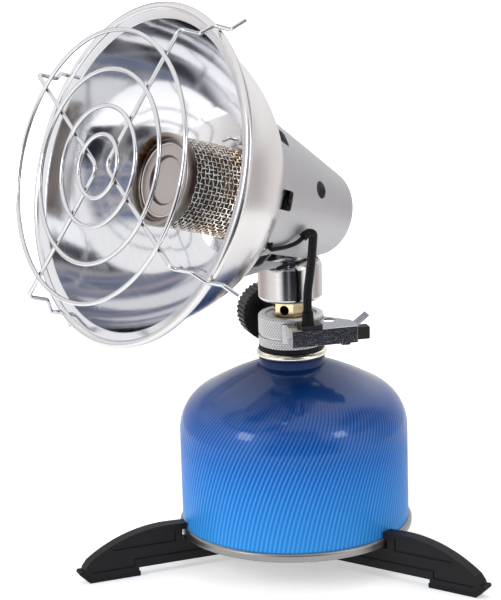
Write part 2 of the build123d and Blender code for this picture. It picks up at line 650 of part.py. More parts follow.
underside = Plane(origin=head.origin - head.y_dir * UNDERCUT_V, x_dir=head.x_dir, z_dir=head.y_dir * -1)
with BuildPart() as rear_housing:
    front_s = JUNCTION_S - 2
    with BuildSketch(head_section):
        with BuildLine():
            FilletPolyline((housing_r(front_s), -front_s), (housing_r(HOUSING_END_S), -HOUSING_END_S),
                           (0, -HOUSING_END_S), radius=HOUSING_END_R)
            offset(amount=SHEET, side=Side.RIGHT)
        make_face()
    revolve(axis=head_axis)
    # the open end stops on the back of the dish
    with BuildSketch(head_section):
        with BuildLine():
            wall, bowl = dish_back_line(SEAT)
            Polyline(bowl @ 1, (0, (bowl @ 1).Y), (0, (wall @ 0).Y), wall @ 0)
        make_face()
    revolve(axis=head_axis, mode=Mode.SUBTRACT)
    # vent notches round the dish
    with BuildSketch(*[head_radial(-JUNCTION_S, VENT_PHASE + k * 360 / VENT_COUNT) for k in range(VENT_COUNT)]):
        RectangleRounded(2 * VENT_L, VENT_W, VENT_CORNER)
    extrude(amount=2 * JUNCTION_R, mode=Mode.SUBTRACT)
    # slot for the ignition lead
    with BuildSketch(head_radial(-JUNCTION_S, LEAD_SLOT_ANGLE)):
        RectangleRounded(2 * LEAD_SLOT_L, LEAD_SLOT_W, 0.6)
    with BuildSketch(head_radial(-LEAD_HOLE_S, LEAD_HOLE_ANGLE)):
        Circle(LEAD_R + LEAD_HOLE_CLEAR)
    extrude(amount=2 * JUNCTION_R, mode=Mode.SUBTRACT)
    # side holes
    with BuildSketch(*[head_radial(-SIDE_HOLE_S, angle) for angle in (SIDE_HOLE_ANGLE, 180 - SIDE_HOLE_ANGLE)]):
        Circle(SIDE_HOLE_R)
    extrude(amount=JUNCTION_R, mode=Mode.SUBTRACT)
    # opening over the neck
    with BuildSketch(underside):
        with Locations((0, -(UNDERCUT_S0 + UNDERCUT_S1) / 2)):
            RectangleRounded(2 * JUNCTION_R, UNDERCUT_S1 - UNDERCUT_S0, 2.0)
    extrude(amount=JUNCTION_R, mode=Mode.SUBTRACT)
    with BuildSketch(Plane.XY.offset(NECK_CUP_Z)):
        Circle(NECK_CUP_R + PART_GAP)
    extrude(amount=NECK_CUP_TOP_Z + PART_GAP - NECK_CUP_Z, mode=Mode.SUBTRACT)
    with BuildSketch(Plane.XY.offset(NECK_CUP_Z)):
        Circle(SADDLE_BACK + PART_GAP)
    extrude(amount=saddle_z + SADDLE_T + PART_GAP - NECK_CUP_Z, mode=Mode.SUBTRACT)
    # slots beside the tongue that the saddle is riveted to
    side_slot_mid = SIDE_SLOT_U + JUNCTION_R
    with BuildSketch(underside):
        with Locations((side_slot_mid, -(SIDE_SLOT_S0 + UNDERCUT_S0 + 2) / 2),
                       (-side_slot_mid, -(SIDE_SLOT_S0 + UNDERCUT_S0 + 2) / 2)):
            Rectangle(2 * JUNCTION_R, UNDERCUT_S0 + 2 - SIDE_SLOT_S0)
    extrude(amount=SIDE_SLOT_H, mode=Mode.SUBTRACT)
    with BuildSketch(*[housing_underside(s).offset(1) for s in rivet_depths]):
        Circle(RIVET_R + SEAT)
    extrude(amount=-SHEET - 2, mode=Mode.SUBTRACT)
rear_housing.part.label = "rear_housing"
export_step(rear_housing.part, "parts/rear_housing.step")

# ---------------------------------------------------------------- mixing tube
cross_s = HEAD_REACH / cos(radians(HEAD_TILT))       # where the head's axis meets the cartridge axis
cross_z = HEAD_Z - HEAD_REACH * tan(radians(HEAD_TILT))
base_back_s = floor_front_s + SEAT
base_front_s = base_back_s + BASE_T
with BuildPart() as mixing_tube:
    with BuildLine() as tube_line:
        FilletPolyline((0, 0, TUBE_MOUTH_Z), (0, 0, cross_z), head_point(base_front_s, 0, 0), radius=ELBOW_R)
    with BuildSketch(Plane.XY.offset(TUBE_MOUTH_Z)):
        Circle(TUBE_R)
        Circle(TUBE_R - TUBE_WALL, mode=Mode.SUBTRACT)
    sweep(path=tube_line.wire())
mixing_tube.part.label = "mixing_tube"
export_step(mixing_tube.part, "parts/mixing_tube.step")

# ---------------------------------------------------------------- saddle bracket
def tongue_point(s):
    """Inner face of the tongue under the strap's edges, in the middle plane."""
    inner_r = housing_r(s) - tongue_wall
    edge_r = sqrt(inner_r ** 2 - (SADDLE_W / 2) ** 2) - SEAT
    point = head_point(-s, edge_r, -90)
    return point.Y, point.Z


with BuildPart() as saddle_bracket:
    with BuildSketch(Plane.XY.offset(saddle_z)):
        Circle(SADDLE_BACK)
        Rectangle(SADDLE_W, SADDLE_STEP_Y, align=(Align.CENTER, Align.MAX))
        Circle(TUBE_R + SEAT, mode=Mode.SUBTRACT)
    extrude(amount=SADDLE_T)
    with BuildSketch(Plane.YZ):
        with BuildLine():
            Polyline((-SADDLE_BACK, saddle_z), (-SADDLE_STEP_Y, saddle_z),
                     tongue_point(tongue_s0), tongue_point(tongue_s1))
            offset(amount=SADDLE_T, side=Side.RIGHT)
        make_face()
    extrude(amount=SADDLE_W / 2, both=True)
    with BuildSketch(*[housing_underside(s) for s in rivet_depths]):
        Circle(RIVET_R + SEAT)
    extrude(amount=-SHEET - 4 * SADDLE_T, mode=Mode.SUBTRACT)
saddle_bracket.part.label = "saddle_bracket"
export_step(saddle_bracket.part, "parts/saddle_bracket.step")

for label, s in zip(("saddle_rivet_rear", "saddle_rivet_front"), rivet_depths):
    inner_r = housing_r(s) - tongue_wall
    sagitta = (inner_r - sqrt(inner_r ** 2 - (SADDLE_W / 2) ** 2) + SEAT) * cos(radians(HOUSING_TAPER))
    grip = SHEET + sagitta + SADDLE_T + SEAT
    wall_plane = housing_underside(s)
    with BuildPart() as rivet:
        with BuildSketch(wall_plane.offset(SEAT)):
            Circle(RIVET_HEAD_R)
        extrude(amount=RIVET_HEAD_H)
        fillet(rivet.edges().filter_by(GeomType.CIRCLE).sort_by(Axis.Z)[0], RIVET_HEAD_H / 2)
        with BuildSketch(wall_plane.offset(-grip)):
            Circle(RIVET_HEAD_R)
        extrude(amount=-RIVET_HEAD_H)
        with BuildSketch(wall_plane.offset(-grip)):
            Circle(RIVET_R)
        extrude(amount=grip + SEAT)
    rivet.part.label = label
    export_step(rivet.part, f"parts/{label}.step")

# ---------------------------------------------------------------- burner
mesh_front_s = -CAP_FRONT_S - CAP_SKIRT - SEAT
with BuildPart() as burner_base:
    with BuildSketch(head_section):
        with BuildLine():
            flange_r = MESH_R + RUN
            Polyline((TUBE_R + SEAT, base_back_s), (flange_r + CAP_SHEET, base_back_s),
                     (flange_r + CAP_SHEET, base_front_s + MESH_LIP), (flange_r, base_front_s + MESH_LIP),
                     (flange_r, base_front_s), (TUBE_R + SEAT, base_front_s), close=True)
        make_face()
    revolve(axis=head_axis)
burner_base.part.label = "burner_base"
export_step(burner_base.part, "parts/burner_base.step")

with BuildPart() as burner_mesh:
    with BuildSketch(head.offset(base_front_s + SEAT)):
        Circle(MESH_R)
        Circle(MESH_R - MESH_T, mode=Mode.SUBTRACT)
    extrude(amount=mesh_front_s - base_front_s - SEAT)
burner_mesh.part.label = "burner_mesh"
export_step(burner_mesh.part, "parts/burner_mesh.step")

cap_floor_s = -CAP_FRONT_S - CAP_RECESS
with BuildPart() as burner_cap:
    with BuildSketch(head_section):
        with BuildLine():
            rim_in_r = CAP_R - CAP_RIM_W
            outline = FilletPolyline((CAP_R, mesh_front_s + SEAT), (CAP_R, -CAP_FRONT_S), (rim_in_r, -CAP_FRONT_S),
                                     (rim_in_r, cap_floor_s), (CAP_DISC_R, cap_floor_s), radius=CAP_BEND)
            Polyline(outline @ 1, (CAP_DISC_R - CAP_DISC_STEP / 2, cap_floor_s - CAP_DISC_STEP),
                     (0, cap_floor_s - CAP_DISC_STEP))
            offset(amount=CAP_SHEET, side=Side.LEFT)
        make_face()
        with Locations((CAP_BEAD_AT, cap_floor_s)):
            Circle(CAP_BEAD_R)
    revolve(axis=head_axis)
burner_cap.part.label = "burner_cap"
export_step(burner_cap.part, "parts/burner_cap.step")

with BuildPart() as burner_liner:
    with BuildSketch(head.offset(base_front_s + SEAT)):
        Circle(LINER_R)
        Circle(LINER_R - LINER_T, mode=Mode.SUBTRACT)
    extrude(amount=cap_floor_s - CAP_SHEET - base_front_s - 2 * SEAT)
burner_liner.part.label = "burner_liner"
export_step(burner_liner.part, "parts/burner_liner.step")

# ---------------------------------------------------------------- guard grille
for label, ring_r in RING_RS.items():
    with BuildPart() as ring:
        with BuildSketch(head_section):
            with Locations((ring_r, GRILLE_S)):
                Circle(WIRE_R)
        revolve(axis=head_axis)
    ring.part.label = label
    export_step(ring.part, f"parts/{label}.step")

spoke_s = GRILLE_S - 2 * WIRE_R - SEAT
over_rim_r = RIM_R + RIM_CLEAR + WIRE_R


def spoke_arm(angle):
    """Corners of one arm from its tail behind the rim to where it turns across the dish."""
    return [head_point(-HOOK_TAIL_S, over_rim_r + HOOK_FLARE, angle),
            head_point(-HOOK_PAST_S, over_rim_r, angle), head_point(HOOK_OVER_S, over_rim_r, angle),
            head_point(HOOK_DIP_S, SPOKE_R, angle), head_point(spoke_s, SPOKE_R, angle)]


for label, first in (("grille_spoke_left", SPOKE_PHASE + 90), ("grille_spoke_right", SPOKE_PHASE - 90)):
    apex = head_point(spoke_s, APEX_OFFSET, first + 45)
    corners = spoke_arm(first) + [apex] + spoke_arm(first + 90)[::-1]
    bends = [SPOKE_BEND] * 4 + [APEX_BEND] + [SPOKE_BEND] * 4
    with BuildPart() as spoke:
        with BuildLine() as wire_line:
            FilletPolyline(*corners, radius=bends)
        with BuildSketch(Plane(origin=wire_line.line @ 0, z_dir=wire_line.line % 0)):
            Circle(WIRE_R)
        sweep(path=wire_line.wire())
    spoke.part.label = label
    export_step(spoke.part, f"parts/{label}.step")

# ---------------------------------------------------------------- piezo igniter
piezo = Plane(origin=(0, 0, 0), x_dir=bearing(PIEZO_AZ - 90), z_dir=(0, 0, 1))   # local x = n, y = u
plate_under_z = BRACKET_TOP_Z - BRACKET_T
face_in_n = BRACKET_FACE_N - BRACKET_T
strap_in_r = COLLAR_R + RUN
bracket_low_z = BRACKET_TOP_Z - BRACKET_H
wing_n, wing_u = strap_in_r * cos(radians(STRAP_WING)), strap_in_r * sin(radians(STRAP_WING))
with BuildPart() as piezo_bracket:
    with BuildSketch(piezo.offset(plate_under_z)):
        with BuildLine():
            Polyline((wing_n, BRACKET_U0), (BRACKET_FACE_N, BRACKET_U0), (BRACKET_FACE_N, BRACKET_U1),
                     (PLATE_TAIL_N, BRACKET_U1), (wing_n, wing_u), close=True)
        make_face()
        with Locations((TERMINAL_N0 - 2.6, BRACKET_U0)):
            Rectangle(TERMINAL_N0, PLATE_NOTCH_U, align=(Align.MAX, Align.MIN), mode=Mode.SUBTRACT)
        with Locations((PLATE_HOLE_N, PLATE_HOLE_U)):
            Circle(PLATE_HOLE_R, mode=Mode.SUBTRACT)
        Circle(strap_in_r, mode=Mode.SUBTRACT)
    extrude(amount=BRACKET_T)
    # front of the channel and its end flange
    with BuildSketch(piezo.offset(bracket_low_z)):
        with Locations((face_in_n, BRACKET_U0)):
            Rectangle(BRACKET_T, BRACKET_U1 - BRACKET_U0, align=(Align.MIN, Align.MIN))
        with Locations((UNIT_IN_N, BRACKET_U0)):
            Rectangle(BRACKET_FACE_N - UNIT_IN_N, BRACKET_T, align=(Align.MIN, Align.MIN))
    extrude(amount=BRACKET_H)
    # lug turned in under the unit
    with BuildSketch(piezo.offset(bracket_low_z - BRACKET_T)):
        with Locations((BRACKET_FACE_N, (LUG_U0 + LUG_U1) / 2)):
            Rectangle(LUG_REACH, LUG_U1 - LUG_U0, align=(Align.MAX, Align.CENTER))
    extrude(amount=BRACKET_T)
    with BuildSketch(piezo.offset(bracket_low_z)):
        with Locations((face_in_n, (LUG_U0 + LUG_U1) / 2)):
            Rectangle(BRACKET_T, LUG_U1 - LUG_U0, align=(Align.MIN, Align.CENTER))
    extrude(amount=-BRACKET_T)
    # saddle round the valve body
    with BuildSketch(piezo.offset(BRACKET_TOP_Z - STRAP_H)):
        with BuildLine():
            inner = CenterArc((0, 0), strap_in_r, -STRAP_HALF, 2 * STRAP_HALF)
            outer = CenterArc((0, 0), strap_in_r + BRACKET_T, -STRAP_HALF, 2 * STRAP_HALF)
            Line(inner @ 0, outer @ 0)
            Line(inner @ 1, outer @ 1)
        make_face()
    extrude(amount=STRAP_H)
    # guard tab bent up beyond the button
    with BuildSketch(Plane(origin=piezo.from_local_coords((TAB_N0, 0, 0)),
                           x_dir=piezo.y_dir, z_dir=piezo.x_dir)):
        with BuildLine():
            FilletPolyline((BRACKET_U1 - 1, plate_under_z), (BRACKET_U1 + 1.2, plate_under_z),
                           (BRACKET_U1 + TAB_RUN, plate_under_z + TAB_RISE), radius=1.5)
            offset(amount=BRACKET_T, side=Side.LEFT)
        make_face()
    extrude(amount=TAB_N1 - TAB_N0)
    bends = piezo_bracket.edges().filter_by(Axis((0, 0, 0), piezo.y_dir)).group_by(Axis((0, 0, 0), piezo.x_dir))
    fillet([e for e in bends[-1] if e.center().Z > plate_under_z], BRACKET_T)
piezo_bracket.part.label = "piezo_bracket"
export_step(piezo_bracket.part, "parts/piezo_bracket.step")

unit_low_z = bracket_low_z + SEAT
unit_top_z = plate_under_z - SEAT
unit_u0 = BRACKET_U0 + BRACKET_T + PART_GAP
unit_u1 = BRACKET_U1 - PART_GAP
button_z = (unit_low_z + unit_top_z) / 2
with BuildPart() as piezo_unit:
    with BuildSketch(piezo.offset(unit_low_z)):
        with Locations((UNIT_IN_N, unit_u0)):
            Rectangle(face_in_n - SEAT - UNIT_IN_N, unit_u1 - unit_u0, align=(Align.MIN, Align.MIN))
    extrude(amount=unit_top_z - unit_low_z)
    with BuildSketch(Plane(origin=piezo.from_local_coords((BUTTON_N, unit_u1, button_z)),
                           x_dir=piezo.x_dir, z_dir=piezo.y_dir)):
        Rectangle(BUTTON + 2 * RUN, BUTTON + 2 * RUN)
    extrude(amount=-(BUTTON_STEM + BUTTON_STROKE + UNIT_FLOOR), mode=Mode.SUBTRACT)
piezo_unit.part.label = "piezo_unit"
export_step(piezo_unit.part, "parts/piezo_unit.step")

with BuildPart() as piezo_button:
    with BuildSketch(Plane(origin=piezo.from_local_coords((BUTTON_N, BRACKET_U1 + BUTTON_OUT, button_z)),
                           x_dir=piezo.x_dir, z_dir=piezo.y_dir)):
        RectangleRounded(BUTTON, BUTTON, BUTTON_EDGE)
    extrude(amount=-(BUTTON_OUT + PART_GAP + BUTTON_STEM))
    fillet(piezo_button.faces().sort_by(Axis((0, 0, 0), piezo.y_dir))[-1].edges(), BUTTON_EDGE / 2)
piezo_button.part.label = "piezo_button"
export_step(piezo_button.part, "parts/piezo_button.step")

terminal_z = BRACKET_TOP_Z + SEAT
with BuildPart() as piezo_terminal:
    with BuildSketch(piezo.offset(terminal_z)):
        with Locations(((TERMINAL_N0 + TERMINAL_N1) / 2, (TERMINAL_U0 + TERMINAL_U1) / 2)):
            RectangleRounded(TERMINAL_N1 - TERMINAL_N0, TERMINAL_U1 - TERMINAL_U0, 0.6)
    extrude(amount=TERMINAL_H)
piezo_terminal.part.label = "piezo_terminal"
export_step(piezo_terminal.part, "parts/piezo_terminal.step")

boot_z = terminal_z + TERMINAL_H + SEAT
boot_foot = piezo.from_local_coords((BOOT_N, BOOT_U, boot_z))
boot_plane = Plane(origin=boot_foot, x_dir=piezo.x_dir, z_dir=(0, 0, 1))
with BuildPart() as terminal_boot:
    with BuildSketch(boot_plane):
        Circle(BOOT_R)
    with BuildSketch(boot_plane.offset(BOOT_H)):
        Circle(BOOT_TOP_R)
    loft()
    fillet(terminal_boot.edges().sort_by(Axis.Z)[-1], BOOT_ROUND)
    with BuildSketch(boot_plane.offset(BOOT_H)):
        Circle(SLEEVE_R + 3 * RUN)
    extrude(amount=-BOOT_SOCKET, mode=Mode.SUBTRACT)
terminal_boot.part.label = "terminal_boot"
export_step(terminal_boot.part, "parts/terminal_boot.step")

# ---------------------------------------------------------------- electrode and ignition lead
with BuildPart() as electrode_ceramic:
    with BuildSketch(electrode_plane.offset(-ELECTRODE_BACK_S)):
        Circle(ELECTRODE_BODY_R)
        Circle(ELECTRODE_WIRE_R + RUN, mode=Mode.SUBTRACT)
    extrude(amount=ELECTRODE_BACK_S - ELECTRODE_FRONT_S)
electrode_ceramic.part.label = "electrode_ceramic"
export_step(electrode_ceramic.part, "parts/electrode_ceramic.step")

electrode_end_s = ELECTRODE_BACK_S + 1.5
with BuildPart() as electrode_wire:
    with BuildLine() as electrode_line:
        FilletPolyline(head_point(-electrode_end_s, ELECTRODE_AT_R, ELECTRODE_ANGLE),
                       head_point(-ELECTRODE_TIP_S - 3, ELECTRODE_AT_R, ELECTRODE_ANGLE),
                       head_point(-ELECTRODE_TIP_S, MESH_R + 2, ELECTRODE_ANGLE), radius=1.4)
    with BuildSketch(electrode_plane.offset(-electrode_end_s)):
        Circle(ELECTRODE_WIRE_R)
    sweep(path=electrode_line.wire())
electrode_wire.part.label = "electrode_wire"
export_step(electrode_wire.part, "parts/electrode_wire.step")


def cord_radii(points):
    """An arc at each corner as large as its two runs allow."""
    radii = []
    for before, corner, after in zip(points, points[1:], points[2:]):
        turn = (corner - before).get_angle(after - corner)
        run = min((corner - before).length, (after - corner).length)
        radii.append(0.45 * run / tan(radians(turn / 2)))
        print(f"corner {len(radii)}: turn {turn:.0f}, radius {radii[-1]:.1f}")
    return radii


def cord_length(points, radii):
    """Length of the straight runs and arcs."""
    length = sum((b - a).length for a, b in zip(points, points[1:]))
    for before, corner, after, r in zip(points, points[1:], points[2:], radii):
        turn = (corner - before).get_angle(after - corner)
        length += r * radians(turn) - 2 * r * tan(radians(turn / 2))
    return length


# the lead leaves the boot, stands in front of the neck cup, folds over beside the housing,
# runs along it to the slot and then inside to the back of the electrode
lead_start = boot_foot + Vector(0, 0, BOOT_H - BOOT_SOCKET + SEAT)
lead_points = [
    lead_start, lead_start + Vector(0, 0, 11.5), Vector(28.2, -10.4, 147.0), Vector(32.8, -12.8, 158.2),
    Vector(34.9, -13.8, 165.2), Vector(35.0, -17.2, 166.0), Vector(34.2, -22.0, 162.2),
    head_point(-66.5, 37.9, -27.5), head_point(-60.2, 40.2, -28), head_point(-53.7, 42.3, -28.6),
    head_point(-55.0, 38.2, -25), head_point(-57.6, 36.2, -5), head_point(-61.5, 33.2, 16),
    head_point(-66.0, 30.0, 36), head_point(-70.6, 26.8, 57), head_point(-73.5, ELECTRODE_AT_R, ELECTRODE_ANGLE),
    head_point(-electrode_end_s - SEAT, ELECTRODE_AT_R, ELECTRODE_ANGLE)]
lead_radii = cord_radii(lead_points)
with BuildPart() as ignition_lead:
    with BuildLine() as lead_line:
        FilletPolyline(*lead_points, radius=lead_radii)
    with BuildSketch(Plane(origin=lead_line.line @ 0, z_dir=lead_line.line % 0)):
        Circle(LEAD_R)
    sweep(path=lead_line.wire())
ignition_lead.part.label = "ignition_lead"
export_step(ignition_lead.part, "parts/ignition_lead.step")
print("lead volume", ignition_lead.part.volume, "section times length",
      3.14159265 * LEAD_R ** 2 * cord_length(lead_points, lead_radii))

SLEEVE_CORNERS = 5
sleeve_end = (lead_points[SLEEVE_CORNERS] + lead_points[SLEEVE_CORNERS + 1]) * 0.5
with BuildPart() as lead_sleeve:
    with BuildLine() as sleeve_line:
        FilletPolyline(*lead_points[:SLEEVE_CORNERS + 1], sleeve_end, radius=lead_radii[:SLEEVE_CORNERS])
    with BuildSketch(Plane(origin=sleeve_line.line @ 0, z_dir=sleeve_line.line % 0)):
        Circle(SLEEVE_R)
        Circle(LEAD_R + SLEEVE_CLEAR, mode=Mode.SUBTRACT)
    sweep(path=sleeve_line.wire())
lead_sleeve.part.label = "lead_sleeve"
export_step(lead_sleeve.part, "parts/lead_sleeve.step")
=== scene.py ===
import math
import random

import bpy
from mathutils import Matrix, Vector


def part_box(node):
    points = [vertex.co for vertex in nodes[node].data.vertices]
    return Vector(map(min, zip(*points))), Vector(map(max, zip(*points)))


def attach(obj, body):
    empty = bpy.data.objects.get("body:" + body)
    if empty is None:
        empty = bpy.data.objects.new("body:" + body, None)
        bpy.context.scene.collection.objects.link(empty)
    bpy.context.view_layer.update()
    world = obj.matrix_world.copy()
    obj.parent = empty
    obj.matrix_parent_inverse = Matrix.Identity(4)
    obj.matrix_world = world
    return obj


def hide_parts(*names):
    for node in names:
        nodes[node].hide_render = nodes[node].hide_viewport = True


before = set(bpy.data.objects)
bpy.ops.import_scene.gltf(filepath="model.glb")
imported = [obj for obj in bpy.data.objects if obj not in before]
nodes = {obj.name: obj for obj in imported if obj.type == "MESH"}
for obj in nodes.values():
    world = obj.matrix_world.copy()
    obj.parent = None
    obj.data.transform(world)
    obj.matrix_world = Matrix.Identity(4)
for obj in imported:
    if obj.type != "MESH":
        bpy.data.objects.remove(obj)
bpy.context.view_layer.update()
scene = bpy.context.scene

MM = 0.001
UP = Vector((0, 0, 1))


def bearing(deg):
    """The level direction at an angle from +X, in degrees."""
    return Vector((math.cos(math.radians(deg)), math.sin(math.radians(deg)), 0))


# -------------------------------------------- sizes shared with the CAD model (mm, degrees)
HEAD_REACH = 85.9            # rim plane's centre in front of the cartridge axis
HEAD_Z = 197.9
HEAD_TILT = 17.7             # the head looks up by this much
KNOB_AZ = 160.5
KNOB_Z = 112.0
PIEZO_AZ = 66.3              # the igniter's length runs this way
BRACKET_FACE_N = 26.8        # its front face, painted dark as a reflection, starts here, square to that
MESH_R = 20.05               # middle of the woven cloth
MESH_REAR_S, MESH_FRONT_S = -54.9, -18.2
MESH_PITCH = 2.25
MESH_WIRE = 0.62
PORT_R = 2.3                 # round port in the brass hexagon
PORT_AZ = -61.6
PORT_RISE = 3.6              # above the hexagon's foot
PORT_FACE = 7.6              # from the axis to the flat that it opens in
COLLAR_R = 15.0              # the knurled side starts outside this

# An axis frame is an origin, a direction along the axis and two directions across it.
tilt = math.radians(HEAD_TILT)
HEAD_O = Vector((0, -HEAD_REACH, HEAD_Z)) * MM
HEAD_D = Vector((0, -math.cos(tilt), math.sin(tilt)))
HEAD = (HEAD_O, HEAD_D, Vector((1, 0, 0)), Vector((0, math.sin(tilt), math.cos(tilt))))
UPRIGHT = (Vector((0, 0, 0)), UP, Vector((1, 0, 0)), Vector((0, 1, 0)))
KNOB = (UP * KNOB_Z * MM, bearing(KNOB_AZ), UP, bearing(KNOB_AZ).cross(UP))
PIEZO_U, PIEZO_N = bearing(PIEZO_AZ), bearing(PIEZO_AZ - 90)


def at(axis, s, r, deg):
    """The point s along an axis frame, at radius r and angle deg; s and r in millimetres."""
    origin, along, across_1, across_2 = axis
    turn = math.radians(deg)
    return origin + (along * s + (across_1 * math.cos(turn) + across_2 * math.sin(turn)) * r) * MM


# -------------------------------------------- objects
def make(name, verts, faces):
    """A smooth-shaded mesh object."""
    mesh = bpy.data.meshes.new(name)
    mesh.from_pydata([tuple(v) for v in verts], [], faces)
    mesh.update()
    for polygon in mesh.polygons:
        polygon.use_smooth = True
    o = bpy.data.objects.new(name, mesh)
    scene.collection.objects.link(o)
    return o


def dress(o, material):
    """Gives an object one material, in every slot that it has."""
    if not o.material_slots:
        o.data.materials.append(material)
    for slot in o.material_slots:
        slot.material = material


# -------------------------------------------- node helpers
class Nodes:
    """Adds shader nodes to a tree. Values are numbers, colours, vectors or sockets."""

    def __init__(self, tree):
        self.tree = tree

    def new(self, kind, **props):
        node = self.tree.nodes.new(kind)
        for key, value in props.items():
            setattr(node, key, value)
        return node

    def link(self, source, target):
        self.tree.links.new(source, target)

    def feed(self, value, socket):
        """Sets a socket, or links it when the value is a socket itself."""
        if isinstance(value, bpy.types.NodeSocket):
            self.link(value, socket)
        else:
            socket.default_value = value

    def math(self, op, *values):
        node = self.new("ShaderNodeMath", operation=op)
        for value, socket in zip(values, node.inputs):
            self.feed(value, socket)
        return node.outputs[0]

    def add(self, a, b):
        return self.math("ADD", a, b)

    def mul(self, a, b):
        return self.math("MULTIPLY", a, b)

    def blend(self, a, share, b):
        """share of a and the rest of b."""
        return self.add(self.mul(a, share), self.mul(b, 1 - share))

    def remap(self, value, low, high, start, end):
        """low where value is start or less, high where it is end or more."""
        node = self.new("ShaderNodeMapRange")
        for name, number in (("From Min", start), ("From Max", end), ("To Min", low), ("To Max", high)):
            node.inputs[name].default_value = number
        self.link(value, node.inputs["Value"])
        return node.outputs[0]

    def rise(self, value, start, end):
        """0 up to start, 1 from end on."""
        return self.remap(value, 0.0, 1.0, start, end)

    def fall(self, value, start, end):
        """1 up to start, 0 from end on."""
        return self.remap(value, 1.0, 0.0, start, end)


class Look(Nodes):
    """A material on the Principled BSDF, built up from object coordinates."""

    def __init__(self, name):
        self.mat = bpy.data.materials.new(name)
        self.mat.use_nodes = True
        super().__init__(self.mat.node_tree)
        self.bsdf = self.tree.nodes["Principled BSDF"]
        self.point = self.new("ShaderNodeTexCoord").outputs["Object"]

    def set(self, **values):
        for key, value in values.items():
            self.bsdf.inputs[key.replace("_", " ")].default_value = value

    def vector(self, op, *values):
        node = self.new("ShaderNodeVectorMath", operation=op)
        for value, socket in zip(values, node.inputs):
            self.feed(value, socket)
        return node.outputs["Value"] if op in ("DOT_PRODUCT", "LENGTH") else node.outputs[0]

    def dot(self, a, b):
        return self.vector("DOT_PRODUCT", a, b)

    def from_point(self, origin):
        return self.vector("SUBTRACT", self.point, origin)

    def axial(self, axis):
        """(s, radius, angle) of the surface point in an axis frame, in metres and radians."""
        origin, along, across_1, across_2 = axis
        p = self.from_point(origin)
        s, x, y = self.dot(p, along), self.dot(p, across_1), self.dot(p, across_2)
        r = self.math("SQRT", self.add(self.mul(x, x), self.mul(y, y)))
        return s, r, self.math("ARCTAN2", y, x)

    def combine(self, *parts):
        node = self.new("ShaderNodeCombineXYZ")
        for part, socket in zip(parts, node.inputs):
            self.feed(part, socket)
        return node.outputs[0]

    def noise(self, scale, detail=3.0, rough=0.5, vector=None):
        node = self.new("ShaderNodeTexNoise")
        node.inputs["Scale"].default_value = scale
        node.inputs["Detail"].default_value = detail
        node.inputs["Roughness"].default_value = rough
        self.link(self.point if vector is None else vector, node.inputs["Vector"])
        return node.outputs["Fac"]

    @staticmethod
    def rgba(color):
        return (*color, 1) if isinstance(color, tuple) else (color, color, color, 1)

    def ramp(self, value, *stops):
        """A colour ramp; each stop is a position and a colour or grey."""
        node = self.new("ShaderNodeValToRGB")
        elements = node.color_ramp.elements
        elements.remove(elements[-1])
        for i, (position, color) in enumerate(stops):
            element = elements.new(position) if i else elements[0]
            element.position = position
            element.color = self.rgba(color)
        self.link(value, node.inputs[0])
        return node.outputs[0]

    def mix(self, share, a, b, mode="MIX"):
        node = self.new("ShaderNodeMix", data_type="RGBA", blend_type=mode)
        self.feed(share, next(i for i in node.inputs if i.name == "Factor" and i.type == "VALUE"))
        for name, value in (("A", a), ("B", b)):
            socket = next(i for i in node.inputs if i.name == name and i.type == "RGBA")
            self.feed(value if isinstance(value, bpy.types.NodeSocket) else self.rgba(value), socket)
        return next(o for o in node.outputs if o.type == "RGBA")

    def now(self, name):
        """What feeds an input of the BSDF so far."""
        return self.bsdf.inputs[name].links[0].from_socket

    def color(self, socket):
        self.link(socket, self.bsdf.inputs["Base Color"])

    def tint(self, share, color):
        """Lays a colour over the one so far."""
        self.color(self.mix(share, self.now("Base Color"), color))

    def darken(self, shade):
        """Multiplies the colour so far."""
        self.color(self.mix(1.0, self.now("Base Color"), shade, "MULTIPLY"))

    def rough(self, socket):
        self.link(socket, self.bsdf.inputs["Roughness"])

    def bump(self, height, strength, distance):
        """Adds relief on top of the relief so far; distance in metres."""
        node = self.new("ShaderNodeBump")
        node.inputs["Strength"].default_value = strength
        node.inputs["Distance"].default_value = distance
        self.link(height, node.inputs["Height"])
        if self.bsdf.inputs["Normal"].is_linked:
            self.link(self.now("Normal"), node.inputs["Normal"])
        self.link(node.outputs[0], self.bsdf.inputs["Normal"])

    def surface(self, socket):
        self.link(socket, self.tree.nodes["Material Output"].inputs["Surface"])

    # masks
    def ring(self, radius, start, full, fade, end):
        """1 between the radii full and fade, 0 inside start and outside end, in millimetres."""
        return self.mul(self.rise(radius, start * MM, full * MM), self.fall(radius, fade * MM, end * MM))

    def near_angle(self, angle, centre, half, soft):
        """1 within half of a bearing round the axis, and 0 soft further out.
        centre is in degrees, and the rest in radians."""
        away = self.math("WRAP", self.math("SUBTRACT", angle, math.radians(centre)), math.pi, -math.pi)
        return self.fall(self.math("ABSOLUTE", away), half, half + soft)

    # finishes and painted crease shade that go on last
    def painted_crease_shade(self, reach, dark, closed=0.35, opened=0.85):
        """Paints shade into the colour where a surface meets another within reach (mm): painted crease shade.
        """
        shade = self.new("ShaderNodeAmbientOcclusion", samples=8)
        shade.inputs["Distance"].default_value = reach * MM
        self.darken(self.ramp(shade.outputs["AO"], (closed, dark), (opened, 1.0)))

    def worn(self, radius, color):
        """Bares bright metal along the edges (mm), where the rounded normal leaves the flat one."""
        edge = self.new("ShaderNodeBevel", samples=4)
        edge.inputs["Radius"].default_value = radius * MM
        kept = self.dot(edge.outputs["Normal"], self.new("ShaderNodeNewGeometry").outputs["Normal"])
        patchy = self.remap(self.noise(600.0, 2.0), 0.35, 1.0, 0.35, 0.60)
        self.tint(self.mul(self.fall(kept, 0.80, 0.97), patchy), color)


# -------------------------------------------- families of materials
def toned(color, factor, lift=0.0):
    return tuple(c * factor + lift for c in color)


